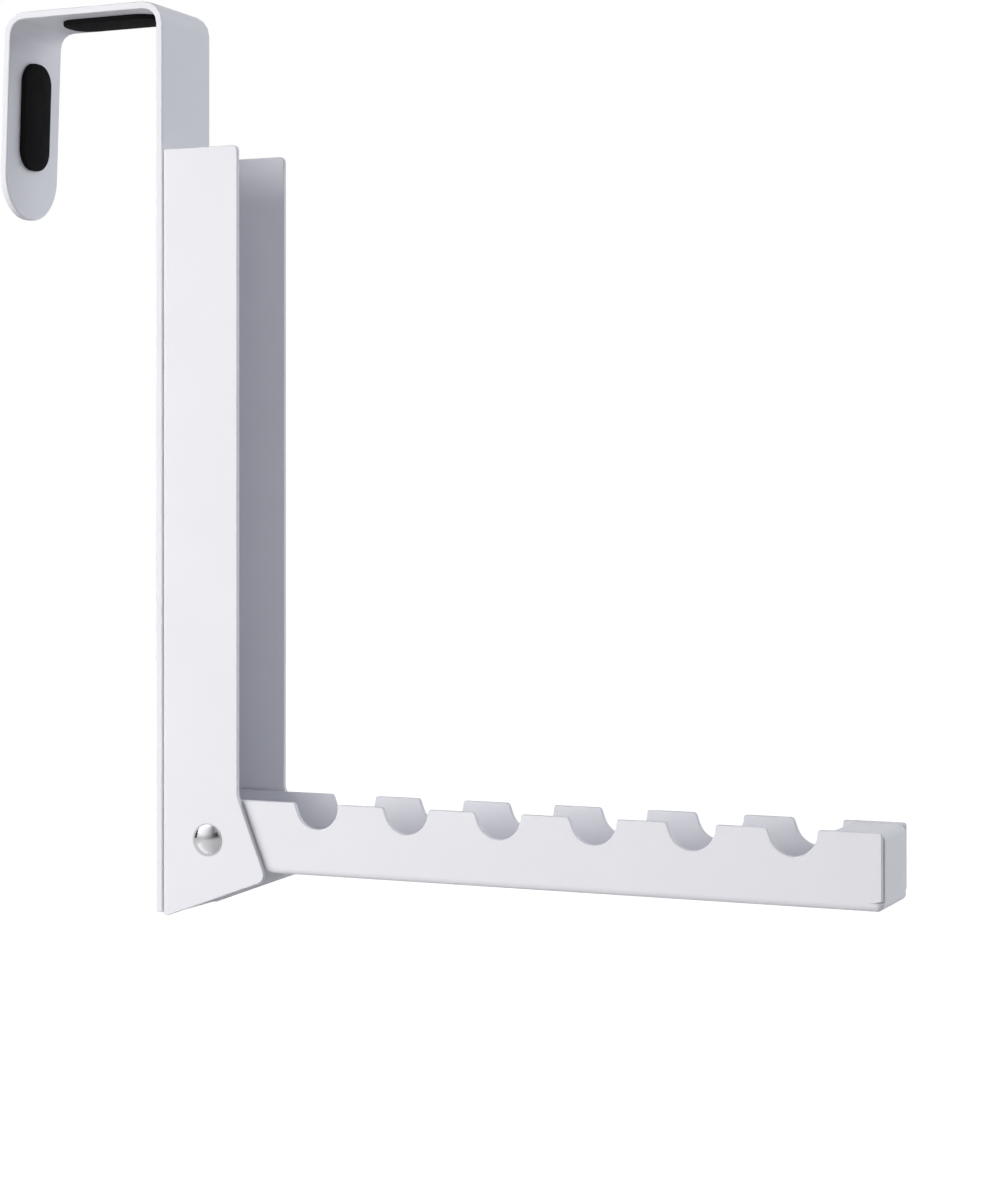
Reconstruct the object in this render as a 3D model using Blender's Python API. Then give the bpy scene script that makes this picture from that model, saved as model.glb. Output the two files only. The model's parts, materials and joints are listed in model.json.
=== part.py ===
"""Over-door hook rack.

A flat strap hooks over the top of a door. A folded channel is riveted to its front leg, and a notched
arm swings on a rivet at the foot of the channel: down for hangers, or up into the channel.

Units are metres. +X points away from the door, along the arm, and +Z up. The origin is the middle of
the door's top edge, on the underside of the pad that rests there.
"""
import math

import bmesh
import bpy
from mathutils import Euler, Matrix, Vector

# Strap over the door
DOOR_GAP = 0.0480            # between the two legs, at the top
STRAP_WIDTH = 0.0270
STRAP_THICKNESS = 0.0020
STRAP_BEND = 0.0043          # inside radius of both bends
STRAP_DROP = 0.0400          # from the strap's underside down to the top of the channel
STRAP_END_SET = 0.0005       # the strap's lower end, above the channel's
BACK_LEG_LENGTH = 0.0560     # from the strap's underside to the tip
BACK_LEG_SPLAY = math.radians(2.0)
BACK_LEG_CORNER = 0.0128     # corner radius of the tip

# Foam pads
PAD_THICKNESS = 0.0015
PAD_WIDTH = 0.0140
PAD_CORNER = 0.0045
TOP_PAD_FRONT = 0.0012       # from the front bend to the top pad
TOP_PAD_BACK = 0.0066        # from the back bend to the top pad
LEG_PAD_TOP = 0.0064         # from a bend down to the pad on that leg
LEG_PAD_TIP = 0.0143         # from the tip up to the back leg's pad
FRONT_PAD_LENGTH = 0.0320
FRONT_PAD_LOW = 0.0060       # from the strap's lower end up to the lower pad

# Channel
CHANNEL_WIDTH = 0.0290
CHANNEL_SHEET = 0.0015
CHANNEL_BEND = 0.0005        # inside radius
CHANNEL_ABOVE_ARM = 0.0014   # top edge above the end of the folded arm
CHANNEL_TOP_CORNER = 0.0015
FLARE_REACH = 0.0090         # how far the walls lean out at the foot
FLARE_TOP = 0.0342           # where they start to lean out, above the lower end
FLARE_FOOT = 0.0114          # the foot's front corner, above the lower end
FLARE_CORNER = 0.0025
FLARE_BLEND = 0.0040

# Arm
ARM_SHEET = 0.0015
ARM_BEND = 0.0005            # inside radius
ARM_HEIGHT = 0.0198
ARM_BELOW_PIVOT = 0.0086
ARM_FRONT_SET = 0.0007       # underside of the folded arm, behind the channel's front edges
ARM_CORNER = 0.0007          # upper corner of a side wall at the end
WALL_SET = 0.0003            # ends of the side walls, behind the end flap's face
FOLD_GAP = 0.0020            # between the channel's web and the edges of the folded arm
NOTCH_COUNT = 6
NOTCH_PITCH = 0.0268
FIRST_SEAT = 0.0328          # from the pivot to the middle of the first seat
END_TAIL = 0.0231            # from the middle of the last seat to the end of the arm
NOTCH_RADIUS = 0.0063
NOTCH_LIP = 0.0007           # straight lip above the seat's middle, on the outer side
NOTCH_LEAD = math.radians(20.0)
LEAD_CORNER = 0.0010
LIP_CORNER = 0.0006
TOP_FLAP = 0.0136            # flap folded back over the end
FLAP_SET = 0.0003            # its top, below the edges of the side walls
END_LIP = 0.0003             # upright edge on top of a lower corner of the end
END_RELIEF = 0.0004          # height of the cut above it, at the foot of the slit beside the end flap

# Pivot
PIVOT_HEIGHT = 0.0217        # above the channel's lower end
PIVOT_SHANK = 0.0050
PIVOT_HEAD_RIM = 0.0020      # how far the domed head overhangs the shank
PIVOT_HEAD_RISE = 0.0022
PIVOT_TAIL_RIM = 0.0016      # the same for the formed head on the far side
PIVOT_TAIL_RISE = 0.0015
WASHER_THICKNESS = 0.0004
WASHER_RIM = 0.0022
SPACER_WALL = 0.0012

# Rivets between the strap and the channel
STRAP_RIVET_COUNT = 3
STRAP_RIVET_FIRST = 0.0300   # below the channel's top edge
STRAP_RIVET_PITCH = 0.0600
STRAP_RIVET_SHANK = 0.0040
STRAP_RIVET_RIM = 0.0018
STRAP_RIVET_HEAD = 0.0008    # height of the low head, thinner than the pads
STRAP_RIVET_TAIL = 0.0012    # height of the formed head inside the channel

# Clearances
SEAT_GAP = 0.0003            # between pieces that rest on each other
RUN_GAP = 0.0001             # on each face of a pivot washer
HOLE_CLEARANCE = 0.0003      # round a rivet's shank

# Finishes: colour, roughness, metallic
WHITE_COAT = ((0.80, 0.80, 0.83), 0.45, 0.0)
BRIGHT_STEEL = ((0.72, 0.72, 0.73), 0.18, 1.0)
ZINC_STEEL = ((0.66, 0.66, 0.67), 0.35, 1.0)
NYLON = ((0.75, 0.74, 0.70), 0.50, 0.0)
BLACK_FOAM = ((0.012, 0.012, 0.013), 0.85, 0.0)

# Fineness of round forms
BEND_STEPS = 4
FILLET_STEPS = 4             # least number on a corner
FILLET_CHORD = 0.0012        # about the length of a step on a large corner
FILLET_SHARE = 0.48          # how much of a side a corner may take up
NOTCH_STEPS = 16
HEEL_STEPS = 6
DOME_STEPS = 6
ROUND_STEPS = 32
SMOOTH_ANGLE = math.radians(35.0)
MERGE_DISTANCE = 0.000001
CUT_THROUGH = 3.0            # length of a drill, in widths of what it goes through

# Sizes that follow from the ones above
ARM_WIDTH = CHANNEL_WIDTH - 2 * (CHANNEL_SHEET + WASHER_THICKNESS + 2 * RUN_GAP)
ARM_TOP = ARM_HEIGHT - ARM_BELOW_PIVOT
ARM_LENGTH = FIRST_SEAT + (NOTCH_COUNT - 1) * NOTCH_PITCH + END_TAIL
PIVOT_DEPTH = CHANNEL_SHEET + FOLD_GAP + ARM_TOP
CHANNEL_DEPTH = PIVOT_DEPTH + ARM_BELOW_PIVOT + ARM_FRONT_SET
CHANNEL_HEIGHT = PIVOT_HEIGHT + ARM_LENGTH + CHANNEL_ABOVE_ARM
PIVOT_BORE = PIVOT_SHANK / 2 + HOLE_CLEARANCE
STRAP_RIVET_BORE = STRAP_RIVET_SHANK / 2 + HOLE_CLEARANCE

# Places in the rack's frame
STRAP_UNDER = PAD_THICKNESS + SEAT_GAP
STRAP_FRONT = DOOR_GAP / 2 + STRAP_THICKNESS
CHANNEL_BACK = STRAP_FRONT + SEAT_GAP
CHANNEL_TOP = STRAP_UNDER - STRAP_DROP
CHANNEL_LOW = CHANNEL_TOP - CHANNEL_HEIGHT
STRAP_LOW = CHANNEL_LOW + STRAP_END_SET
PIVOT_PLACE = (CHANNEL_BACK + PIVOT_DEPTH, 0.0, CHANNEL_LOW + PIVOT_HEIGHT)

# Turns that lay a turned piece's axis across the rack, or along the arm with its head to the door
HEAD_TO_NEAR_SIDE = Euler((math.pi / 2, 0.0, 0.0))
HEAD_TO_DOOR = Euler((0.0, -math.pi / 2, 0.0))


def clear_scene():
    """Remove whatever the scene holds."""
    for thing in list(bpy.data.objects):
        bpy.data.objects.remove(thing, do_unlink=True)


def finish_material(name, finish):
    """A sub-part's own material."""
    colour, roughness, metallic = finish
    material = bpy.data.materials.new(name)
    material.use_nodes = True
    shader = material.node_tree.nodes["Principled BSDF"]
    shader.inputs["Base Color"].default_value = (*colour, 1.0)
    shader.inputs["Roughness"].default_value = roughness
    shader.inputs["Metallic"].default_value = metallic
    return material


def arc(centre, radius, start, end, steps):
    """Points of a circular arc, both ends included, with angles in radians."""
    points = []
    for step in range(steps + 1):
        angle = start + (end - start) * step / steps
        points.append((centre[0] + radius * math.cos(angle), centre[1] + radius * math.sin(angle)))
    return points


def rounded(corners):
    """Outline through corners (u, v, radius), each one rounded by its radius as far as its sides allow."""
    outline = []
    for index, (u, v, radius) in enumerate(corners):
        if radius == 0.0:
            outline.append((u, v))
            continue
        corner = Vector((u, v))
        sides = []
        reach = math.inf
        for other in (corners[index - 1], corners[(index + 1) % len(corners)]):
            side = Vector(other[:2]) - corner
            corners_on_side = 2 if other[2] else 1
            reach = min(reach, 2 * FILLET_SHARE / corners_on_side * side.length)
            sides.append(side.normalized())
        half_angle = sides[0].angle(sides[1]) / 2
        tangent = min(radius / math.tan(half_angle), reach)
        centre = corner + (sides[0] + sides[1]).normalized() * tangent / math.cos(half_angle)
        first = corner + sides[0] * tangent - centre
        last = corner + sides[1] * tangent - centre
        start = math.atan2(first.y, first.x)
        sweep = math.remainder(math.atan2(last.y, last.x) - start, math.tau)
        steps = max(FILLET_STEPS, round(first.length * abs(sweep) / FILLET_CHORD))
        outline += arc(centre, first.length, start, start + sweep, steps)
    return outline


def new_object(name, mesh, finish):
    """A named object with its own material, smooth over its round forms."""
    mesh.materials.append(finish_material(name, finish))
    mesh.shade_smooth()
    mesh.set_sharp_from_angle(angle=SMOOTH_ANGLE)
    thing = bpy.data.objects.new(name, mesh)
    bpy.context.scene.collection.objects.link(thing)
    return thing


def apply_modifiers(thing):
    """Replace an object's mesh by its evaluated shape."""
    shaped = thing.evaluated_get(bpy.context.evaluated_depsgraph_get())
    mesh = bpy.data.meshes.new_from_object(shaped)
    thing.modifiers.clear()
    thing.data = mesh
    mesh.shade_smooth()
    mesh.set_sharp_from_angle(angle=SMOOTH_ANGLE)


def folded_sheet(name, faces, outward, thickness):
    """Sheet metal: the faces make its outer skin, and its thickness lies behind them.

    The first face has to look along outward.
    """
    form = bmesh.new()
    for points in faces:
        form.faces.new([form.verts.new(point) for point in points])
    bmesh.ops.remove_doubles(form, verts=form.verts, dist=MERGE_DISTANCE)
    bmesh.ops.recalc_face_normals(form, faces=form.faces)
    form.faces.ensure_lookup_table()
    if form.faces[0].normal.dot(Vector(outward)) < 0:
        bmesh.ops.reverse_faces(form, faces=form.faces)
    mesh = bpy.data.meshes.new(name)
    form.to_mesh(mesh)
    form.free()
    thing = new_object(name, mesh, WHITE_COAT)
    wall = thing.modifiers.new("sheet", "SOLIDIFY")
    wall.thickness = thickness
    wall.offset = -1.0
    wall.use_even_offset = True
    apply_modifiers(thing)
    return thing


def drill(thing, places, turn, radius, width):
    """Cut round holes through a width of an object, each on an axis turned as a turned piece is."""
    for place in places:
        form = bmesh.new()
        bmesh.ops.create_cone(form, cap_ends=True, segments=ROUND_STEPS, radius1=radius, radius2=radius,
                              depth=CUT_THROUGH * width)
        mesh = bpy.data.meshes.new("drill")
        form.to_mesh(mesh)
        form.free()
        mesh.transform(Matrix.LocRotScale(Vector(place), turn, None))
        cutter = bpy.data.objects.new("drill", mesh)
        cutter.hide_render = True
        cutter.display_type = "WIRE"
        bpy.context.scene.collection.objects.link(cutter)
        cut = thing.modifiers.new("hole", "BOOLEAN")
        cut.operation = "DIFFERENCE"
        cut.solver = "EXACT"
        cut.object = cutter
        apply_modifiers(thing)
        bpy.data.objects.remove(cutter, do_unlink=True)


def turned(name, profile, closed, finish):
    """Piece turned about Z from a profile of (radius, height) points; a closed profile makes a ring."""
    form = bmesh.new()
    points = [form.verts.new((radius, 0.0, height)) for radius, height in profile]
    edges = [form.edges.new(pair) for pair in zip(points, points[1:])]
    if closed:
        edges.append(form.edges.new((points[-1], points[0])))
    bmesh.ops.spin(form, geom=points + edges, cent=(0, 0, 0), axis=(0, 0, 1), angle=math.tau,
                   steps=ROUND_STEPS, use_merge=True)
    bmesh.ops.remove_doubles(form, verts=form.verts, dist=MERGE_DISTANCE)
    bmesh.ops.recalc_face_normals(form, faces=form.faces)
    mesh = bpy.data.meshes.new(name)
    form.to_mesh(mesh)
    form.free()
    return new_object(name, mesh, finish)


def plate(name, outline, thickness, finish):
    """Flat plate: an outline in X and Y, thickened along +Z."""
    form = bmesh.new()
    face = form.faces.new([form.verts.new((u, v, 0.0)) for u, v in outline])
    raised = bmesh.ops.extrude_face_region(form, geom=[face])["geom"]
    moved = [item for item in raised if isinstance(item, bmesh.types.BMVert)]
    bmesh.ops.translate(form, verts=moved, vec=(0.0, 0.0, thickness))
    bmesh.ops.recalc_face_normals(form, faces=form.faces)
    mesh = bpy.data.meshes.new(name)
    form.to_mesh(mesh)
    form.free()
    return new_object(name, mesh, finish)


def dome(base_radius, base_height, rise):
    """Profile of a round rivet head, from its rim to its crown; a negative rise points down."""
    ball = (base_radius ** 2 + rise ** 2) / (2 * abs(rise))
    rim_angle = math.asin(min(1.0, base_radius / ball))
    up = math.copysign(1.0, rise)
    middle = base_height + rise - up * ball
    points = []
    for step in range(DOME_STEPS + 1):
        angle = rim_angle * (1 - step / DOME_STEPS)
        points.append((ball * math.sin(angle), middle + up * ball * math.cos(angle)))
    return points


def ring(inner, outer, low, high):
    """Closed profile of a washer or a tube."""
    return [(inner, low), (outer, low), (outer, high), (inner, high)]


def place(thing, parent, location, turn=(0.0, 0.0, 0.0)):
    """Hang an object on its parent."""
    thing.parent = parent
    thing.location = location
    thing.rotation_euler = turn


def empty(name, parent, location):
    """A bare frame that other objects hang on."""
    frame = bpy.data.objects.new(name, None)
    bpy.context.scene.collection.objects.link(frame)
    place(frame, parent, location)
    return frame


def strip(row_a, row_b):
    """Faces between two rows of points."""
    return [(row_a[i], row_a[i + 1], row_b[i + 1], row_b[i]) for i in range(len(row_a) - 1)]


def strap_rivet_places():
    """Heights of the strap's rivets, from the top one down."""
    first = CHANNEL_TOP - STRAP_RIVET_FIRST
    return [first - index * STRAP_RIVET_PITCH for index in range(STRAP_RIVET_COUNT)]


def back_leg_frame():
    """Where the back leg's inner face would meet the strap's underside, and the leg's direction down."""
    corner = Vector((-DOOR_GAP / 2, 0.0, STRAP_UNDER))
    down = Vector((-math.sin(BACK_LEG_SPLAY), 0.0, -math.cos(BACK_LEG_SPLAY)))
    return corner, down


def build_strap():
    """Bent strap: front leg, web over the door and back leg with a round tip."""
    half = STRAP_WIDTH / 2
    outer = STRAP_BEND + STRAP_THICKNESS
    bend_height = STRAP_UNDER - STRAP_BEND
    corner, down = back_leg_frame()
    outward = Vector((-math.cos(BACK_LEG_SPLAY), 0.0, math.sin(BACK_LEG_SPLAY)))
    back_bend = corner.x + STRAP_BEND * (1 - math.sin(BACK_LEG_SPLAY)) / math.cos(BACK_LEG_SPLAY)

    profile = [(STRAP_FRONT, STRAP_LOW)]
    profile += arc((DOOR_GAP / 2 - STRAP_BEND, bend_height), outer, 0.0, math.pi / 2, BEND_STEPS)
    profile += arc((back_bend, bend_height), outer, math.pi / 2, math.pi - BACK_LEG_SPLAY, BEND_STEPS)
    near_row = [(x, -half, z) for x, z in profile]
    far_row = [(x, half, z) for x, z in profile]
    faces = strip(near_row, far_row)

    # The back leg is drawn flat, as width against length, and then laid along the splayed leg
    bend_end = Vector((profile[-1][0], 0.0, profile[-1][1]))
    skin = corner + outward * STRAP_THICKNESS
    start = (bend_end - skin).dot(down)
    flat = rounded([
        (-half, start, 0.0),
        (half, start, 0.0),
        (half, BACK_LEG_LENGTH, BACK_LEG_CORNER),
        (-half, BACK_LEG_LENGTH, BACK_LEG_CORNER),
    ])
    faces.append([skin + down * along + Vector((0.0, across, 0.0)) for across, along in flat])

    strap = folded_sheet("over_door_strap", faces, (1.0, 0.0, 0.0), STRAP_THICKNESS)
    middle = STRAP_FRONT - STRAP_THICKNESS / 2
    holes = [(middle, 0.0, height) for height in strap_rivet_places()]
    drill(strap, holes, HEAD_TO_DOOR, STRAP_RIVET_BORE, STRAP_THICKNESS)
    return strap


def build_channel():
    """Folded channel, with its back on X = 0 and its lower end on Z = 0."""
    half = CHANNEL_WIDTH / 2
    bend = CHANNEL_BEND + CHANNEL_SHEET
    quarter = arc((bend, half - bend), bend, math.pi, math.pi / 2, BEND_STEPS)
    profile = [(x, -y) for x, y in reversed(quarter)] + quarter
    low_row = [(x, y, 0.0) for x, y in profile]
    high_row = [(x, y, CHANNEL_HEIGHT) for x, y in profile]
    faces = strip(low_row, high_row)
    web = faces.pop(BEND_STEPS)

    wall = rounded([
        (bend, 0.0, 0.0),
        (CHANNEL_DEPTH + FLARE_REACH, FLARE_FOOT, FLARE_CORNER),
        (CHANNEL_DEPTH, FLARE_TOP, FLARE_BLEND),
        (CHANNEL_DEPTH, CHANNEL_HEIGHT, CHANNEL_TOP_CORNER),
        (bend, CHANNEL_HEIGHT, 0.0),
    ])
    walls = [[(x, side * half, z) for x, z in wall] for side in (-1, 1)]
    channel = folded_sheet("channel", [web] + faces + walls, (-1.0, 0.0, 0.0), CHANNEL_SHEET)

    holes = [(CHANNEL_SHEET / 2, 0.0, height - CHANNEL_LOW) for height in strap_rivet_places()]
    drill(channel, holes, HEAD_TO_DOOR, STRAP_RIVET_BORE, CHANNEL_SHEET)
    drill(channel, [(PIVOT_DEPTH, 0.0, PIVOT_HEIGHT)], HEAD_TO_NEAR_SIDE, PIVOT_BORE, CHANNEL_WIDTH)
    return channel


def notch_corners(seat):
    """Corners of one notch, from its slanted inner side round the seat to its upright lip."""
    height = ARM_TOP - NOTCH_LIP
    turn_in = math.pi + NOTCH_LEAD
    bowl = arc((seat, height), NOTCH_RADIUS, turn_in, math.tau, NOTCH_STEPS)
    rise = ARM_TOP - bowl[0][1]
    corners = [(bowl[0][0] - rise * math.tan(NOTCH_LEAD), ARM_TOP, LEAD_CORNER)]
    corners += [(x, z, 0.0) for x, z in bowl]
    corners.append((seat + NOTCH_RADIUS, ARM_TOP, LIP_CORNER))
    return corners


def corner_ball(middle, top, radius, side):
    """Skin of a round lower corner between two bends: an eighth of a ball, and a lip above it."""
    rows = []
    for step in range(BEND_STEPS + 1):
        tilt = math.pi / 2 * step / BEND_STEPS
        ring_points = arc(middle, radius * math.sin(tilt), math.pi / 2, 0.0, BEND_STEPS)
        rows.append([(x, side * y, top - radius * math.cos(tilt)) for x, y in ring_points])
    rows.append([(x, y, top + END_LIP) for x, y, z in rows[-1]])
    faces = []
    for row, above in zip(rows, rows[1:]):
        faces += strip(row, above)
    return faces


def build_arm():
    """Folded arm, with the pivot at its origin.

    The web runs along the underside. Both walls carry the notches. At the end the web turns up and then
    back over the top, between the walls and free of them. Below that the bends meet in round corners.
    """
    half = ARM_WIDTH / 2
    bend = ARM_BEND + ARM_SHEET
    flat_half = half - bend
    under = -ARM_BELOW_PIVOT
    bend_top = under + bend
    heel = -(PIVOT_DEPTH - CHANNEL_SHEET - SEAT_GAP)
    end_bend = ARM_LENGTH - bend
    flap_top = ARM_TOP - FLAP_SET
    wall_end = ARM_LENGTH - WALL_SET
    web = [(heel, -flat_half, under), (end_bend, -flat_half, under), (end_bend, flat_half, under),
           (heel, flat_half, under)]
    faces = [web]

    # Walls: the heel is round about the pivot above it, and square below it as a stop
    heel_top = math.pi - math.asin(ARM_TOP / -heel)
    outline = [(heel, bend_top, 0.0)]
    outline += [(x, z, 0.0) for x, z in arc((0.0, 0.0), -heel, math.pi, heel_top, HEEL_STEPS)]
    for index in range(NOTCH_COUNT):
        outline += notch_corners(FIRST_SEAT + index * NOTCH_PITCH)
    outline += [
        (wall_end, ARM_TOP, ARM_CORNER),
        (wall_end, bend_top + END_LIP + END_RELIEF, 0.0),
        (end_bend, bend_top + END_LIP, 0.0),
        (end_bend, bend_top, 0.0),
    ]
    wall = rounded(outline)
    turn = arc((flat_half, bend_top), bend, -math.pi / 2, 0.0, BEND_STEPS)
    for side in (-1, 1):
        faces.append([(x, side * half, z) for x, z in wall])
        faces += strip([(heel, side * y, z) for y, z in turn], [(end_bend, side * y, z) for y, z in turn])
        faces += corner_ball((end_bend, flat_half), bend_top, bend, side)

    # Flaps that close the end
    tongue = arc((end_bend, bend_top), bend, -math.pi / 2, 0.0, BEND_STEPS)
    tongue.append((ARM_LENGTH, bend_top + END_LIP))
    tongue += arc((end_bend, flap_top - bend), bend, 0.0, math.pi / 2, BEND_STEPS)
    tongue.append((ARM_LENGTH - TOP_FLAP, flap_top))
    faces += strip([(x, -flat_half, z) for x, z in tongue], [(x, flat_half, z) for x, z in tongue])

    arm = folded_sheet("arm", faces, (0.0, 0.0, -1.0), ARM_SHEET)
    drill(arm, [(0.0, 0.0, 0.0)], HEAD_TO_NEAR_SIDE, PIVOT_BORE, ARM_WIDTH)
    return arm


def build_pivot(rack, arm_pivot):
    """Rivet, spacer tube and washers on the arm's axis."""
    shank = PIVOT_SHANK / 2
    seat = CHANNEL_WIDTH / 2 + SEAT_GAP
    profile = dome(shank + PIVOT_TAIL_RIM, -seat, -PIVOT_TAIL_RISE)[::-1]
    profile += [(shank, -seat), (shank, seat)]
    profile += dome(shank + PIVOT_HEAD_RIM, seat, PIVOT_HEAD_RISE)
    rivet = turned("pivot_rivet", profile, False, BRIGHT_STEEL)
    place(rivet, rack, PIVOT_PLACE, HEAD_TO_NEAR_SIDE)

    inside = ARM_WIDTH / 2 - ARM_SHEET - RUN_GAP
    tube = ring(PIVOT_BORE, PIVOT_BORE + SPACER_WALL, -inside, inside)
    spacer = turned("pivot_spacer", tube, True, ZINC_STEEL)
    place(spacer, arm_pivot, (0.0, 0.0, 0.0), HEAD_TO_NEAR_SIDE)

    low = ARM_WIDTH / 2 + RUN_GAP
    for name, side in (("pivot_washer_near", 1), ("pivot_washer_far", -1)):
        ends = sorted((side * low, side * (low + WASHER_THICKNESS)))
        washer = turned(name, ring(PIVOT_BORE, PIVOT_BORE + WASHER_RIM, *ends), True, NYLON)
        place(washer, rack, PIVOT_PLACE, HEAD_TO_NEAR_SIDE)


def build_strap_rivets(rack):
    """Rivets that hold the channel on the strap: a low head to the door, a round one inside the channel."""
    shank = STRAP_RIVET_SHANK / 2
    wide = shank + STRAP_RIVET_RIM
    inside = -(STRAP_THICKNESS + SEAT_GAP + CHANNEL_SHEET + SEAT_GAP)
    for index, height in enumerate(strap_rivet_places(), start=1):
        profile = dome(wide, inside, -STRAP_RIVET_TAIL)[::-1]
        profile += [(shank, inside), (shank, SEAT_GAP)]
        profile += dome(wide, SEAT_GAP, STRAP_RIVET_HEAD)
        rivet = turned(f"strap_rivet_{index}", profile, False, ZINC_STEEL)
        place(rivet, rack, (DOOR_GAP / 2, 0.0, height), HEAD_TO_DOOR)


def pad(name, length):
    """Foam pad with round corners: its length along X, its back on Z = 0."""
    half_width = PAD_WIDTH / 2
    outline = rounded([
        (-length / 2, -half_width, PAD_CORNER),
        (length / 2, -half_width, PAD_CORNER),
        (length / 2, half_width, PAD_CORNER),
        (-length / 2, half_width, PAD_CORNER),
    ])
    return plate(name, outline, PAD_THICKNESS, BLACK_FOAM)


def build_pads(rack):
    """Pads glued where the strap meets the door: on top, behind it and in front of it."""
    right_angle = math.pi / 2
    flat = DOOR_GAP - 2 * STRAP_BEND
    length = flat - TOP_PAD_FRONT - TOP_PAD_BACK
    middle = (TOP_PAD_BACK - TOP_PAD_FRONT) / 2
    place(pad("top_pad", length), rack, (middle, 0.0, PAD_THICKNESS), (math.pi, 0.0, 0.0))

    corner, down = back_leg_frame()
    top = STRAP_BEND + LEG_PAD_TOP
    length = BACK_LEG_LENGTH - top - LEG_PAD_TIP
    inward = Vector((math.cos(BACK_LEG_SPLAY), 0.0, -math.sin(BACK_LEG_SPLAY)))
    middle = corner + down * (top + length / 2) + inward * SEAT_GAP
    turn = (0.0, right_angle + BACK_LEG_SPLAY, 0.0)
    place(pad("back_leg_pad", length), rack, middle, turn)

    face = DOOR_GAP / 2 - SEAT_GAP
    upper = STRAP_UNDER - top - FRONT_PAD_LENGTH / 2
    lower = STRAP_LOW + FRONT_PAD_LOW + FRONT_PAD_LENGTH / 2
    for name, height in (("front_pad_upper", upper), ("front_pad_lower", lower)):
        place(pad(name, FRONT_PAD_LENGTH), rack, (face, 0.0, height), (0.0, -right_angle, 0.0))


def build_rack():
    """The whole rack, with the arm down."""
    clear_scene()
    rack = empty("rack", None, (0.0, 0.0, 0.0))
    arm_pivot = empty("arm_pivot", rack, PIVOT_PLACE)
    place(build_strap(), rack, (0.0, 0.0, 0.0))
    place(build_channel(), rack, (CHANNEL_BACK, 0.0, CHANNEL_LOW))
    place(build_arm(), arm_pivot, (0.0, 0.0, 0.0))
    build_pivot(rack, arm_pivot)
    build_strap_rivets(rack)
    build_pads(rack)


build_rack()
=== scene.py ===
"""Looks of the over-door hook rack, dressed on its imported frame.

Units are metres. +X points away from the door, along the arm, and +Z up.
"""

import json
import math

import bmesh
import bpy
from mathutils import Matrix, Vector

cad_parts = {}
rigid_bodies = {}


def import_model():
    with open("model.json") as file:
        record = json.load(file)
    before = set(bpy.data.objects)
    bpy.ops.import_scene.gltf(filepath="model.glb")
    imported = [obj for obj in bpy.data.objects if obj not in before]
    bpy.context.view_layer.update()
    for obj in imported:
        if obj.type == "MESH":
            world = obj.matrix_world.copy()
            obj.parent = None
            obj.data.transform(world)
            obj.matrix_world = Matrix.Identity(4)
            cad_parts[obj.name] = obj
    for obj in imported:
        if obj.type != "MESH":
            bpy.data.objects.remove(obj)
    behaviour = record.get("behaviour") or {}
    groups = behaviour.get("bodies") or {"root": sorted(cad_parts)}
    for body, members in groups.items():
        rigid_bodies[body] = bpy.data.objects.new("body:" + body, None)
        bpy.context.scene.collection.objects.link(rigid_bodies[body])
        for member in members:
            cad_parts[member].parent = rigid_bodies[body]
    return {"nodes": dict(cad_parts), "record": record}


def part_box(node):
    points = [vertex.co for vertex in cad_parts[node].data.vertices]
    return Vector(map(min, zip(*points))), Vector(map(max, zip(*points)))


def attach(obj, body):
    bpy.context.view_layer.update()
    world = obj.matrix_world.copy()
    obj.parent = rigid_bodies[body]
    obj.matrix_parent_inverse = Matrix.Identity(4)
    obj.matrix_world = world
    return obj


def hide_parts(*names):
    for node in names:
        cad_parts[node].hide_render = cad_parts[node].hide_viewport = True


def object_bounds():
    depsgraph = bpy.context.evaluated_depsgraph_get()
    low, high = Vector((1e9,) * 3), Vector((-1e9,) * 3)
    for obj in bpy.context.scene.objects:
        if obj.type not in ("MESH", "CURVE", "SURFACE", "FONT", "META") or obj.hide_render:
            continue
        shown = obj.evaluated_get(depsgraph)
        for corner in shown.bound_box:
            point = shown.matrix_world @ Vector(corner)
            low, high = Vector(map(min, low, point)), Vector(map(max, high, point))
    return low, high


# Camera: level, at the photograph's place, framed by its shift
CAMERA_PLACE = (0.3998, -0.6490, -0.1364)
CAMERA_TURN = (math.radians(90.0), 0.0, math.radians(23.95))
LENS = 78.88
SENSOR = 36.0
SHIFT_X = 0.0273
SHIFT_Y = -0.0813

# Floor, which is lifted to white where it is seen
FLOOR_DROP = 0.35            # below the rack
FLOOR_SIZE = 12.0
FLOOR_COLOUR = (0.36, 0.36, 0.36)
FLOOR_ROUGHNESS = 0.9
LIFT_NEAR = 0.80             # lift under the rack
LIFT_FAR = 1.0               # lift away from it
LIFT_START = 0.6             # distances from the rack's middle between which the lift grows
LIFT_END = 2.4

# Light
AMBIENT = 0.20
WARM = (1.0, 0.985, 0.965)
COOL = (0.92, 0.945, 1.0)
LIGHT_AIM = (0.10, 0.0, -0.14)

# Soft boxes: azimuth from the near side towards the arm's end, elevation, distance, size, power
# and tint
SOFT_BOXES = {
    "key": (-30.0, 5.0, 1.15, 1.0, 11.4, WARM),
    "front": (5.0, 5.0, 0.92, 1.0, 1.6, COOL),
    "back_side": (120.0, 15.0, 1.5, 1.0, 6.7, COOL),
    "back_high": (150.0, 30.0, 1.5, 0.7, 4.6, COOL),
    "back": (175.0, 10.0, 1.5, 1.0, 10.0, COOL),
    "door_side": (-115.0, 10.0, 1.5, 1.0, 3.5, COOL),
}

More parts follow.
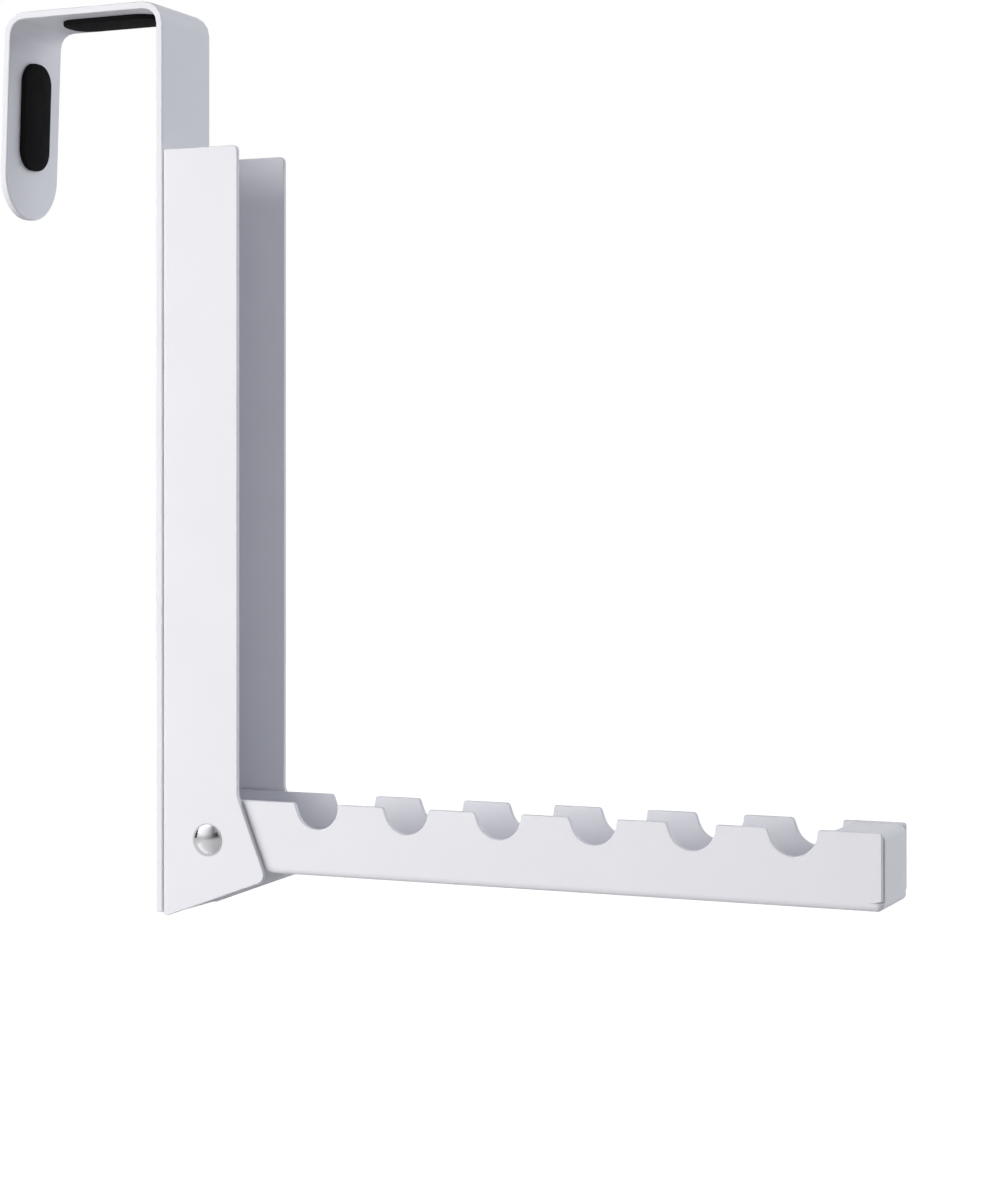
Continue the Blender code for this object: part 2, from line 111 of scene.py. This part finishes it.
# Glowing cards round the pivot rivet that only gloss shows; they paint the rivet's reflection: a
# painted highlight above, a painted dark horizon band, painted dark patches at the sides and a
# painted lighter streak below. Columns: azimuths, the elevations of the lower and of the upper
# edge at both ends, brightness along the lower and along the upper edge
ROUND = (-150.0, 90.0)
HORIZON = (-6.0, 19.0)
ABOVE = (1.7, 1.8, 1.3, 0.28, 0.65)
BELOW = (0.5, 0.85, 0.95, 0.70, 0.55)
BETWEEN = (0.10, 0.65, 0.75, 0.22, 0.30)
STREAK = (0.9, 1.4, 1.2, 0.95)
CARDS = {
    "upper": (ROUND, HORIZON, (90.0, 90.0), ABOVE, ABOVE),
    "lower": (ROUND, (-90.0, -90.0), HORIZON, BELOW, BELOW),
    "fade_up": (ROUND, HORIZON, (14.0, 39.0), BETWEEN, ABOVE),
    "fade_down": (ROUND, (-22.0, 3.0), HORIZON, BELOW, BETWEEN),
    "streak": ((-84.0, -30.0), (-70.0, -70.0), (-20.0, -14.0), STREAK, STREAK),
    "dark_left": ((-150.0, -75.0), (-7.0, 1.0), (75.0, 16.0), (0.02, 0.05), (0.02, 0.08)),
    "dark_right": ((26.0, 60.0), (13.0, 16.0), (34.0, 42.0), (0.20, 0.03), (0.20, 0.03)),
}
CARD_DISTANCE = 0.34
CARD_LAYER = 0.005           # each card lies this much inside the one before
CARD_STEPS = 24

# Finishes
COAT_WHITE = (0.80, 0.80, 0.84)
COAT_SPECULAR = 0.35
STEEL = (0.66, 0.655, 0.68)
ZINC = (0.60, 0.61, 0.62)
NYLON = (0.78, 0.77, 0.72)
FOAM_BLACK = (0.007, 0.007, 0.008)
FOAM_SPECULAR = 0.08
FOAM_CELLS = 2800.0          # cells in a metre
NOISE_LOW = 0.3              # where most of a noise's values lie
NOISE_HIGH = 0.7

# Rounded edges of the coated sheet
CHANNEL_EDGE = 0.0003
ARM_EDGE = 0.0003
STRAP_EDGE = 0.0004
EDGE_STEPS = 3
EDGE_ANGLE = math.radians(50.0)
FLAT_ANGLE = math.radians(0.5)
WELD = 0.000001

# Pads
PAD_CORNER = 0.0060
PAD_CORNER_LEAST = 0.0002    # corner of the innermost rings
PAD_EDGE = 0.0006            # rounding of the face's rim
PAD_CROWN = 0.0004           # how far the face swells over its middle
PAD_GLUE = 0.00025           # foam and glue that close the seat's gap
PAD_FACE_SHARE = 0.94        # share of the half width that the face's rings cover
PAD_CORNER_STEPS = 12
PAD_EDGE_STEPS = 5
PAD_FACE_STEPS = 8

# Pivot rivet
RIVET_STEPS = 96
DOME_STEPS = 20
SHANK_RADIUS = 0.0025
TAIL_RADIUS = 0.0041
RIM_HEIGHT = 0.00025
HEAD_SEAT = 0.00003          # gap between a head and the coat


def clear_scene():
    """Remove whatever the scene holds."""
    for thing in list(bpy.data.objects):
        bpy.data.objects.remove(thing, do_unlink=True)


def link(thing):
    """Put an object into the scene."""
    bpy.context.scene.collection.objects.link(thing)
    return thing


def paint(thing, material):
    """Give an object one material."""
    thing.data.materials.clear()
    thing.data.materials.append(material)


def shader_tree(name):
    """A new material, its node tree and its Principled shader."""
    material = bpy.data.materials.new(name)
    material.use_nodes = True
    tree = material.node_tree
    return material, tree, tree.nodes["Principled BSDF"]


def object_noise(tree, scale, detail):
    """Noise over the object's own metres; scale counts features in a metre."""
    place = tree.nodes.new("ShaderNodeTexCoord")
    noise = tree.nodes.new("ShaderNodeTexNoise")
    noise.inputs["Scale"].default_value = scale
    noise.inputs["Detail"].default_value = detail
    tree.links.new(place.outputs["Object"], noise.inputs["Vector"])
    return noise.outputs["Fac"]


def spread(tree, value, low, high):
    """Spread a noise value over a range."""
    ramp = tree.nodes.new("ShaderNodeMapRange")
    ramp.inputs["From Min"].default_value = NOISE_LOW
    ramp.inputs["From Max"].default_value = NOISE_HIGH
    ramp.inputs["To Min"].default_value = low
    ramp.inputs["To Max"].default_value = high
    tree.links.new(value, ramp.inputs["Value"])
    return ramp.outputs["Result"]


def shade(tree, value, colour, depth):
    """A colour that a value from 0 to 1 lightens, from darker by depth."""
    blend = tree.nodes.new("ShaderNodeMix")
    blend.data_type = "RGBA"
    blend.inputs["A"].default_value = (*[part * (1.0 - depth) for part in colour], 1.0)
    blend.inputs["B"].default_value = (*colour, 1.0)
    tree.links.new(value, blend.inputs["Factor"])
    return blend.outputs["Result"]


def cloudy(tree, value, colour, depth):
    """A colour in clouds, darker by up to depth."""
    return shade(tree, spread(tree, value, low=0.0, high=1.0), colour, depth)


def bump(tree, height, distance, under=None):
    """Bump of a height in metres, laid over another one."""
    node = tree.nodes.new("ShaderNodeBump")
    node.inputs["Distance"].default_value = distance
    tree.links.new(height, node.inputs["Height"])
    if under:
        tree.links.new(under, node.inputs["Normal"])
    return node.outputs["Normal"]


def powder_coat(name):
    """Satin white powder coat: a faint orange peel, a fine grain and a soft change of tone."""
    material, tree, shader = shader_tree(name)
    tone = object_noise(tree, scale=45.0, detail=2.0)
    peel = object_noise(tree, scale=650.0, detail=1.0)
    grain = object_noise(tree, scale=3200.0, detail=2.0)
    relief = bump(tree, grain, distance=0.000004, under=bump(tree, peel, distance=0.00002))
    tree.links.new(cloudy(tree, tone, COAT_WHITE, depth=0.02), shader.inputs["Base Color"])
    tree.links.new(spread(tree, grain, low=0.44, high=0.56), shader.inputs["Roughness"])
    tree.links.new(relief, shader.inputs["Normal"])
    shader.inputs["Specular IOR Level"].default_value = COAT_SPECULAR
    return material


def polished_steel(name):
    """Bright rivet steel with fine polishing marks."""
    material, tree, shader = shader_tree(name)
    marks = object_noise(tree, scale=2600.0, detail=3.0)
    tree.links.new(shade(tree, marks, STEEL, depth=0.06), shader.inputs["Base Color"])
    tree.links.new(spread(tree, marks, low=0.10, high=0.16), shader.inputs["Roughness"])
    tree.links.new(bump(tree, marks, distance=0.000002), shader.inputs["Normal"])
    shader.inputs["Metallic"].default_value = 1.0
    return material


def zinc_plate(name):
    """Zinc-plated steel, cloudy and duller."""
    material, tree, shader = shader_tree(name)
    cloud = object_noise(tree, scale=420.0, detail=4.0)
    tree.links.new(cloudy(tree, cloud, ZINC, depth=0.15), shader.inputs["Base Color"])
    tree.links.new(spread(tree, cloud, low=0.28, high=0.42), shader.inputs["Roughness"])
    tree.links.new(bump(tree, cloud, distance=0.000008), shader.inputs["Normal"])
    shader.inputs["Metallic"].default_value = 1.0
    return material


def nylon(name):
    """Natural nylon, slightly cloudy."""
    material, tree, shader = shader_tree(name)
    cloud = object_noise(tree, scale=900.0, detail=2.0)
    tree.links.new(cloudy(tree, cloud, NYLON, depth=0.06), shader.inputs["Base Color"])
    tree.links.new(spread(tree, cloud, low=0.42, high=0.55), shader.inputs["Roughness"])
    return material


def foam(name):
    """Black closed-cell foam: shallow cells with a dull skin."""
    material, tree, shader = shader_tree(name)
    place = tree.nodes.new("ShaderNodeTexCoord")
    cells = tree.nodes.new("ShaderNodeTexVoronoi")
    cells.inputs["Scale"].default_value = FOAM_CELLS
    tree.links.new(place.outputs["Object"], cells.inputs["Vector"])
    cloud = object_noise(tree, scale=260.0, detail=3.0)
    relief = bump(tree, cells.outputs["Distance"], distance=0.00004)
    tree.links.new(cloudy(tree, cloud, FOAM_BLACK, depth=0.35), shader.inputs["Base Color"])
    tree.links.new(spread(tree, cloud, low=0.72, high=0.88), shader.inputs["Roughness"])
    tree.links.new(relief, shader.inputs["Normal"])
    shader.inputs["Specular IOR Level"].default_value = FOAM_SPECULAR
    return material


def round_edges(node, width):
    """Soften the sheet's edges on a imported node, as a coat does, with modifiers alone."""
    weld = node.modifiers.new("weld", "WELD")
    weld.merge_threshold = WELD
    flat = node.modifiers.new("flat faces", "DECIMATE")
    flat.decimate_type = "DISSOLVE"
    flat.angle_limit = FLAT_ANGLE
    edge = node.modifiers.new("soft edges", "BEVEL")
    edge.width = width
    edge.segments = EDGE_STEPS
    edge.limit_method = "ANGLE"
    edge.angle_limit = EDGE_ANGLE
    edge.use_clamp_overlap = False
    edge.loop_slide = False
    normals = node.modifiers.new("even shading", "WEIGHTED_NORMAL")
    normals.keep_sharp = False
    node.data.shade_smooth()


def finished_mesh(name, form):
    """Mesh of a built form: welded, facing out, smooth but for its sharp edges."""
    bmesh.ops.remove_doubles(form, verts=form.verts, dist=WELD)
    bmesh.ops.recalc_face_normals(form, faces=form.faces)
    mesh = bpy.data.meshes.new(name)
    form.to_mesh(mesh)
    form.free()
    mesh.shade_smooth()
    mesh.set_sharp_from_angle(angle=EDGE_ANGLE)
    return mesh


def rounded_rectangle(half_length, half_width, radius):
    """Points round a rectangle with round corners, as many on each corner whatever its radius."""
    points = []
    for quarter in range(4):
        side_u = 1 if quarter in (0, 3) else -1
        side_v = 1 if quarter in (0, 1) else -1
        middle_u = side_u * (half_length - radius)
        middle_v = side_v * (half_width - radius)
        for step in range(PAD_CORNER_STEPS + 1):
            angle = (quarter + step / PAD_CORNER_STEPS) * math.pi / 2
            points.append((middle_u + radius * math.cos(angle),
                           middle_v + radius * math.sin(angle)))
    return points


def extents(node, axis):
    """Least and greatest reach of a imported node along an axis."""
    reach = [vertex.co.dot(axis) for vertex in node.data.vertices]
    return min(reach), max(reach)


def pad_rings(half_width, height):
    """Inset and height of a pad's rings: up its side, over its rim and in across its face."""
    rings = [(0.0, -PAD_GLUE), (0.0, height - PAD_EDGE - PAD_CROWN)]
    for step in range(1, PAD_EDGE_STEPS + 1):
        angle = math.pi / 2 * step / PAD_EDGE_STEPS
        inset = PAD_EDGE * (1 - math.cos(angle))
        rings.append((inset, height - PAD_CROWN - PAD_EDGE * (1 - math.sin(angle))))
    inner = half_width * PAD_FACE_SHARE
    for step in range(1, PAD_FACE_STEPS + 1):
        share = step / PAD_FACE_STEPS
        inset = PAD_EDGE + (inner - PAD_EDGE) * share
        rings.append((inset, height - PAD_CROWN * (1 - share) ** 2))
    return rings


def pad(name, node_name, outward, material):
    """Foam pad in the place of a packed one: flat on the strap, with a round rim and a crown."""
    node = frame["nodes"][node_name]
    outward = Vector(outward).normalized()
    across = Vector((0.0, 1.0, 0.0))
    along = across.cross(outward)
    low_u, high_u = extents(node, along)
    low_v, high_v = extents(node, across)
    low_n, high_n = extents(node, outward)
    half_u = (high_u - low_u) / 2
    half_v = (high_v - low_v) / 2

    form = bmesh.new()
    rows = []
    for inset, level in pad_rings(half_v, high_n - low_n):
        radius = max(PAD_CORNER - inset, PAD_CORNER_LEAST)
        outline = rounded_rectangle(half_u - inset, half_v - inset, min(radius, half_v - inset))
        rows.append([form.verts.new((u, v, level)) for u, v in outline])
    for row, above in zip(rows, rows[1:]):
        for index in range(len(row)):
            after = (index + 1) % len(row)
            form.faces.new((row[index], row[after], above[after], above[index]))
    form.faces.new(rows[0][::-1])
    form.faces.new(rows[-1])

    piece = link(bpy.data.objects.new(name, finished_mesh(name, form)))
    middle = along * (low_u + high_u) / 2 + across * (low_v + high_v) / 2 + outward * low_n
    turn = Matrix((along, across, outward)).transposed()
    piece.matrix_world = Matrix.LocRotScale(middle, turn.to_quaternion(), None)
    paint(piece, material)
    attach(piece, "rack")
    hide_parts(node_name)


def head_profile(radius, seat, crown):
    """Rivet head from its rim to its crown: a short upright rim, then part of a ball."""
    way = math.copysign(1.0, crown - seat)
    rise = abs(crown - seat) - RIM_HEIGHT
    ball = (radius ** 2 + rise ** 2) / (2 * rise)
    rim_angle = math.asin(radius / ball)
    points = [(radius, seat)]
    for step in range(DOME_STEPS + 1):
        angle = rim_angle * (1 - step / DOME_STEPS)
        points.append((ball * math.sin(angle), crown - way * ball * (1 - math.cos(angle))))
    return points


def pivot_rivet(material):
    """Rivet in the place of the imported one, with finer heads that sit on the channel's walls."""
    low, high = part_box("pivot_rivet")
    wall_low, wall_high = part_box("channel")
    near_seat = wall_low.y - HEAD_SEAT
    far_seat = wall_high.y + HEAD_SEAT
    profile = head_profile((high.x - low.x) / 2, near_seat, low.y)[::-1]
    profile += [(SHANK_RADIUS, near_seat), (SHANK_RADIUS, far_seat)]
    profile += head_profile(TAIL_RADIUS, far_seat, high.y)

    form = bmesh.new()
    points = [form.verts.new((reach, level, 0.0)) for reach, level in profile]
    edges = [form.edges.new(pair) for pair in zip(points, points[1:])]
    bmesh.ops.spin(form, geom=points + edges, cent=(0, 0, 0), axis=(0, 1, 0), angle=math.tau,
                   steps=RIVET_STEPS, use_merge=True)
    piece = link(bpy.data.objects.new("pivot_rivet_heads", finished_mesh("rivet", form)))
    piece.location = ((low.x + high.x) / 2, 0.0, (low.z + high.z) / 2)
    paint(piece, material)
    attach(piece, "rack")
    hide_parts("pivot_rivet")


def dress_rack():
    """Finish every piece of the rack."""
    nodes = frame["nodes"]
    for name, slot, width in (("over_door_strap", "strap_coat", STRAP_EDGE),
                              ("channel", "channel_coat", CHANNEL_EDGE),
                              ("arm", "arm_coat", ARM_EDGE)):
        paint(nodes[name], powder_coat(slot))
        round_edges(nodes[name], width)

    zinc = zinc_plate("zinc_steel")
    for name in ("pivot_spacer", "strap_rivet_1", "strap_rivet_2", "strap_rivet_3"):
        paint(nodes[name], zinc)
        nodes[name].data.shade_smooth()
    natural = nylon("nylon")
    for name in ("pivot_washer_near", "pivot_washer_far"):
        paint(nodes[name], natural)
    pivot_rivet(polished_steel("bright_steel"))

    black = foam("black_foam")
    mounts = {mount["name"]: mount for mount in frame["record"]["mounts"]}
    pad("foam_pad_top", "top_pad", mounts["door_top"]["axis"], black)
    pad("foam_pad_back", "back_leg_pad", mounts["door_back"]["axis"], black)
    pad("foam_pad_front_upper", "front_pad_upper", mounts["door_front"]["axis"], black)
    pad("foam_pad_front_lower", "front_pad_lower", mounts["door_front"]["axis"], black)


def seen_directly(tree):
    """1 for rays that show a background: from the camera, or by way of gloss or glass."""
    rays = tree.nodes.new("ShaderNodeLightPath")
    total = rays.outputs["Is Camera Ray"]
    for name in ("Is Glossy Ray", "Is Transmission Ray"):
        add = tree.nodes.new("ShaderNodeMath")
        add.operation = "ADD"
        add.use_clamp = True
        tree.links.new(total, add.inputs[0])
        tree.links.new(rays.outputs[name], add.inputs[1])
        total = add.outputs["Value"]
    return total


def build_world():
    """White where it is seen, and a plain even light on the rack."""
    world = bpy.data.worlds.new("studio")
    bpy.context.scene.world = world
    world.use_nodes = True
    tree = world.node_tree
    light = tree.nodes["Background"]
    light.inputs["Color"].default_value = (*COOL, 1.0)
    light.inputs["Strength"].default_value = AMBIENT
    white = tree.nodes.new("ShaderNodeBackground")
    white.inputs["Color"].default_value = (1.0, 1.0, 1.0, 1.0)
    blend = tree.nodes.new("ShaderNodeMixShader")
    tree.links.new(seen_directly(tree), blend.inputs["Fac"])
    tree.links.new(light.outputs["Background"], blend.inputs[1])
    tree.links.new(white.outputs["Background"], blend.inputs[2])
    tree.links.new(blend.outputs["Shader"], tree.nodes["World Output"].inputs["Surface"])


def floor_lift(tree):
    """Glow that lifts the floor to white where it is seen, growing away from the rack."""
    place = tree.nodes.new("ShaderNodeTexCoord")
    reach = tree.nodes.new("ShaderNodeVectorMath")
    reach.operation = "LENGTH"
    tree.links.new(place.outputs["Object"], reach.inputs[0])
    grow = tree.nodes.new("ShaderNodeMapRange")
    grow.interpolation_type = "SMOOTHSTEP"
    grow.inputs["From Min"].default_value = LIFT_START
    grow.inputs["From Max"].default_value = LIFT_END
    grow.inputs["To Min"].default_value = LIFT_NEAR
    grow.inputs["To Max"].default_value = LIFT_FAR
    tree.links.new(reach.outputs["Value"], grow.inputs["Value"])
    lift = tree.nodes.new("ShaderNodeMath")
    lift.operation = "MULTIPLY"
    tree.links.new(grow.outputs["Result"], lift.inputs[0])
    tree.links.new(seen_directly(tree), lift.inputs[1])
    glow = tree.nodes.new("ShaderNodeEmission")
    tree.links.new(lift.outputs["Value"], glow.inputs["Strength"])
    return glow.outputs["Emission"]


def floor_material():
    """Pale floor: it shows white in the light and keeps the rack's shadow."""
    material, tree, shader = shader_tree("floor")
    shader.inputs["Base Color"].default_value = (*FLOOR_COLOUR, 1.0)
    shader.inputs["Roughness"].default_value = FLOOR_ROUGHNESS
    both = tree.nodes.new("ShaderNodeAddShader")
    tree.links.new(shader.outputs["BSDF"], both.inputs[0])
    tree.links.new(floor_lift(tree), both.inputs[1])

    # Clear from below, so that it hides nothing there
    side = tree.nodes.new("ShaderNodeNewGeometry")
    clear = tree.nodes.new("ShaderNodeBsdfTransparent")
    pick = tree.nodes.new("ShaderNodeMixShader")
    tree.links.new(side.outputs["Backfacing"], pick.inputs["Fac"])
    tree.links.new(both.outputs["Shader"], pick.inputs[1])
    tree.links.new(clear.outputs["BSDF"], pick.inputs[2])
    tree.links.new(pick.outputs["Shader"], tree.nodes["Material Output"].inputs["Surface"])
    return material


def build_floor(level):
    """Wide floor under the rack."""
    half = FLOOR_SIZE / 2
    corners = [(-half, -half, 0.0), (half, -half, 0.0), (half, half, 0.0), (-half, half, 0.0)]
    mesh = bpy.data.meshes.new("floor")
    mesh.from_pydata(corners, [], [(0, 1, 2, 3)])
    floor = link(bpy.data.objects.new("floor", mesh))
    floor.location = (LIGHT_AIM[0], LIGHT_AIM[1], level)
    paint(floor, floor_material())


def direction(azimuth, elevation):
    """Way out from the rack; azimuth in degrees from the near side towards the arm's end."""
    turn = math.radians(azimuth)
    rise = math.radians(elevation)
    flat = math.cos(rise)
    return Vector((math.sin(turn) * flat, -math.cos(turn) * flat, math.sin(rise)))


def soft_box(name, azimuth, elevation, distance, size, power, tint):
    """Square soft light aimed at the rack; the cards take its place in gloss."""
    lamp = bpy.data.lights.new(name, "AREA")
    lamp.size = size
    lamp.energy = power
    lamp.color = tint
    thing = link(bpy.data.objects.new(name, lamp))
    way = direction(azimuth, elevation)
    thing.location = Vector(LIGHT_AIM) + way * distance
    thing.rotation_euler = way.to_track_quat("Z", "Y").to_euler()
    thing.visible_camera = False
    thing.visible_glossy = False


def value_along(values, share):
    """Value at a share of the way along evenly spaced values."""
    place = share * (len(values) - 1)
    first = min(int(place), len(values) - 2)
    return values[first] + (values[first + 1] - values[first]) * (place - first)


def card_mesh(name, middle, distance, azimuths, lower_edge, upper_edge, lower_glow, upper_glow):
    """Curved sheet about a middle, with its brightness at each point."""
    points = []
    levels = []
    for row in range(CARD_STEPS + 1):
        height = row / CARD_STEPS
        for column in range(CARD_STEPS + 1):
            share = column / CARD_STEPS
            rise = (value_along(lower_edge, share), value_along(upper_edge, share))
            glow = (value_along(lower_glow, share), value_along(upper_glow, share))
            way = direction(value_along(azimuths, share), value_along(rise, height))
            points.append(middle + way * distance)
            levels.append(value_along(glow, height))
    faces = []
    for row in range(CARD_STEPS):
        for column in range(CARD_STEPS):
            first = row * (CARD_STEPS + 1) + column
            above = first + CARD_STEPS + 1
            faces.append((first, first + 1, above + 1, above))
    mesh = bpy.data.meshes.new(name)
    mesh.from_pydata(points, [], faces)
    mesh.attributes.new("glow", "FLOAT", "POINT").data.foreach_set("value", levels)
    return mesh


def card_material(name):
    """Plain glow, as bright as the card's points say."""
    material, tree, shader = shader_tree(name)
    shader.inputs["Base Color"].default_value = (0.0, 0.0, 0.0, 1.0)
    shader.inputs["Specular IOR Level"].default_value = 0.0
    shader.inputs["Emission Color"].default_value = (1.0, 1.0, 1.0, 1.0)
    glow = tree.nodes.new("ShaderNodeAttribute")
    glow.attribute_name = "glow"
    tree.links.new(glow.outputs["Fac"], shader.inputs["Emission Strength"])
    return material


def gloss_card(name, middle, distance, settings):
    """Curved card about a middle that neither the camera nor the soft light sees."""
    card = link(bpy.data.objects.new(name, card_mesh(name, middle, distance, *settings)))
    card.visible_camera = False
    card.visible_diffuse = False
    card.visible_shadow = False
    paint(card, card_material(name))


def build_studio():
    """Lights and cards."""
    for name, settings in SOFT_BOXES.items():
        soft_box(name, *settings)
    low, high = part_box("pivot_rivet")
    middle = Vector(((low.x + high.x) / 2, low.y, (low.z + high.z) / 2))
    for layer, (name, settings) in enumerate(CARDS.items()):
        gloss_card(name, middle, CARD_DISTANCE - CARD_LAYER * layer, settings)


def build_camera():
    """Level camera at the photograph's viewing angle."""
    lens = bpy.data.cameras.new("camera")
    lens.sensor_width = SENSOR
    lens.lens = LENS
    lens.shift_x = SHIFT_X
    lens.shift_y = SHIFT_Y
    camera = link(bpy.data.objects.new("camera", lens))
    camera.location = CAMERA_PLACE
    camera.rotation_euler = CAMERA_TURN
    bpy.context.scene.camera = camera


clear_scene()
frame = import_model()
cad_low, cad_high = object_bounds()
dress_rack()
build_camera()
build_world()
build_floor(cad_low.z - FLOOR_DROP)
build_studio()
bpy.context.scene.view_settings.view_transform = "Standard"
